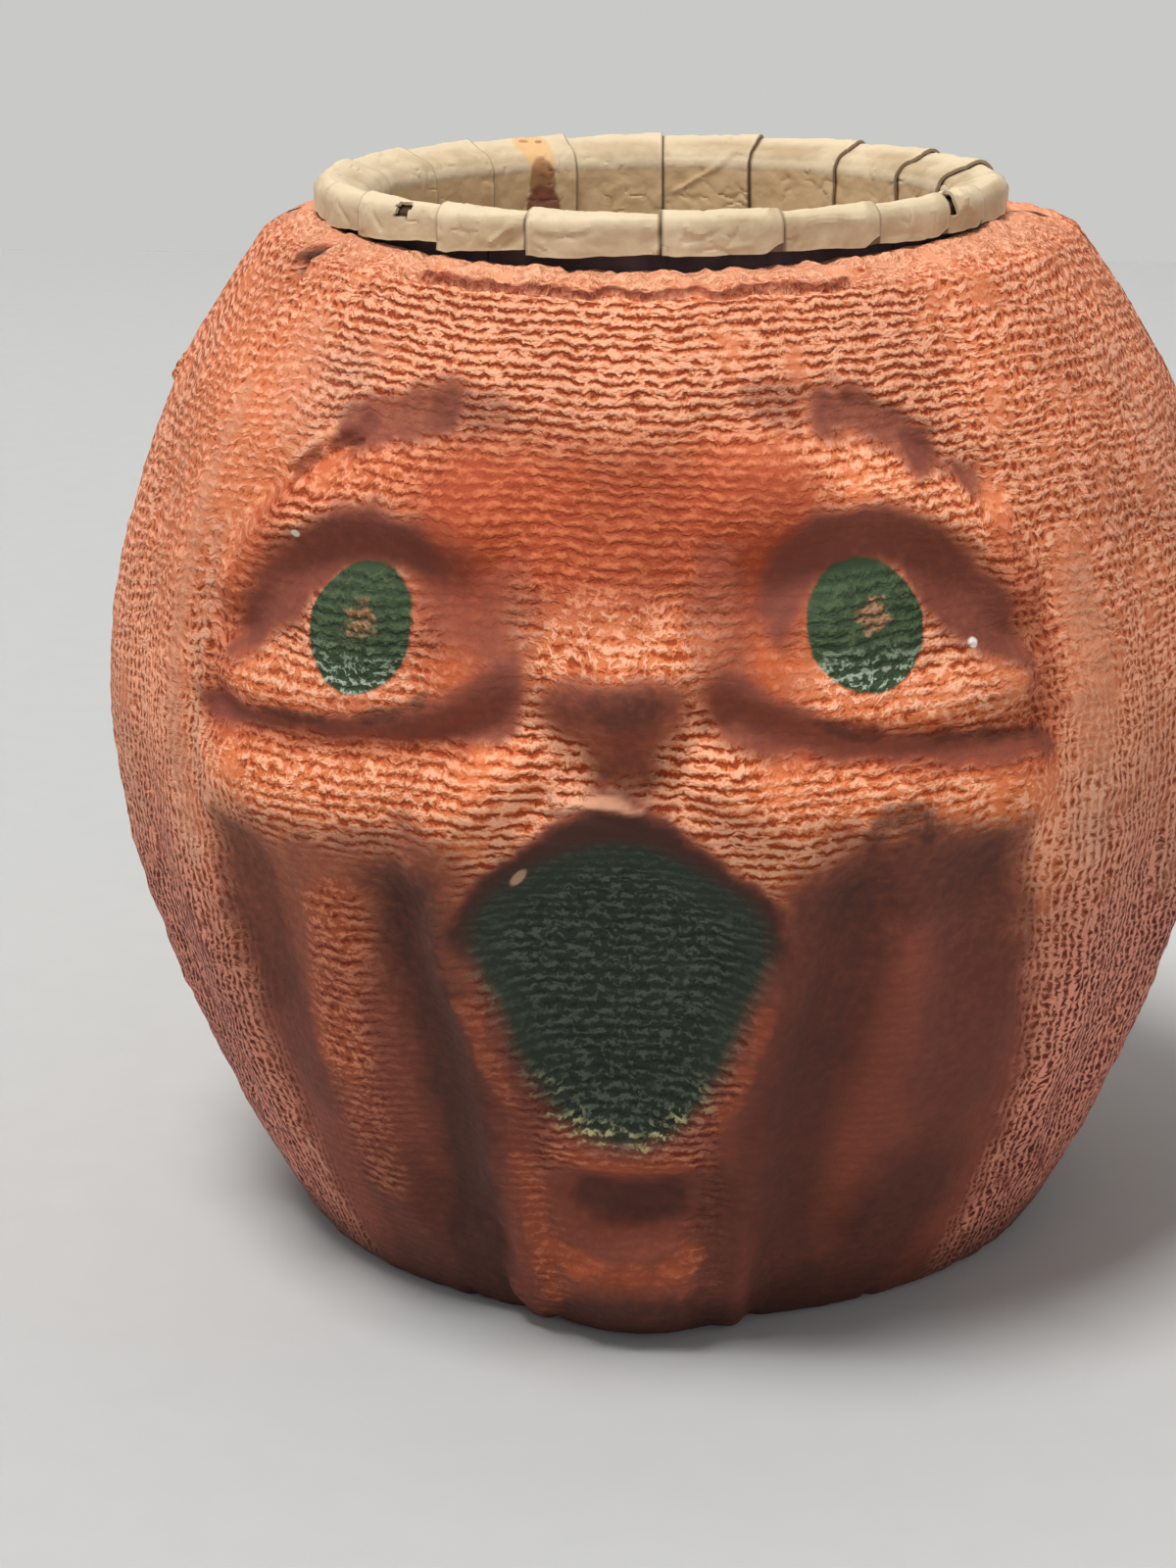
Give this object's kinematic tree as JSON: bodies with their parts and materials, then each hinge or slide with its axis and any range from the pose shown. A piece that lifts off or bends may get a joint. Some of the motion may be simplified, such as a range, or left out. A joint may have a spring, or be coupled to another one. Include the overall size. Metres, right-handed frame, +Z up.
{
  "type": "jack-o-lantern nut cup",
  "caption": "Small pressed-cloth pumpkin head with a painted, moulded jack-o'-lantern face and a lift-out cardboard cup with a taped rim in its open top.",
  "frame": {"origin": "centre of the flat base, on the surface the head stands on", "axes": "+Z up along the head's axis, the face looks along -Y, +X is to the right of someone who looks at the face"},
  "size_m": [0.0696, 0.0713, 0.0651],
  "materials": {
    "painted_cloth": "matte oil-painted pressed cloth, orange with sprayed brown shading and dark green eyes and mouth",
    "cream_paper": "smooth aged gummed paper",
    "dark_paper": "matte faded purple-grey paper",
    "board": "plain grey-tan cardboard"
  },
  "bodies": {
    "shell": {"front_shell": "painted_cloth", "rear_shell": "painted_cloth", "seam_strip_left": "board", "seam_strip_right": "board", "base_disc": "board"},
    "cup": {"cup_tube": "board", "rim_ring": "board", "cup_floor": "board", "rim_tape_01": "cream_paper", "rim_tape_02": "cream_paper", "rim_tape_03": "cream_paper", "rim_tape_04": "cream_paper", "rim_tape_05": "cream_paper", "rim_tape_06": "cream_paper", "rim_tape_07": "cream_paper", "rim_tape_08": "cream_paper", "rim_tape_09": "cream_paper", "rim_tape_10": "cream_paper", "rim_tape_11": "cream_paper", "rim_tape_12": "cream_paper", "rim_tape_13": "cream_paper", "rim_tape_14": "cream_paper", "rim_tape_15": "cream_paper", "rim_tape_16": "cream_paper", "rim_tape_17": "cream_paper", "rim_tape_18": "cream_paper", "rim_tape_19": "cream_paper", "rim_tape_20": "cream_paper", "cover_panel_01": "dark_paper", "cover_panel_02": "dark_paper", "cover_panel_03": "dark_paper", "cover_panel_04": "dark_paper", "cover_panel_05": "dark_paper", "cover_panel_06": "dark_paper", "cover_panel_07": "dark_paper", "cover_panel_08": "dark_paper", "cover_panel_09": "dark_paper"}
  },
  "joints": [
    {"name": "cup_lift", "type": "slide", "parent": "shell", "child": "cup", "axis": [0, 0, 1], "range_m": [0, 0.032]}
  ]
}
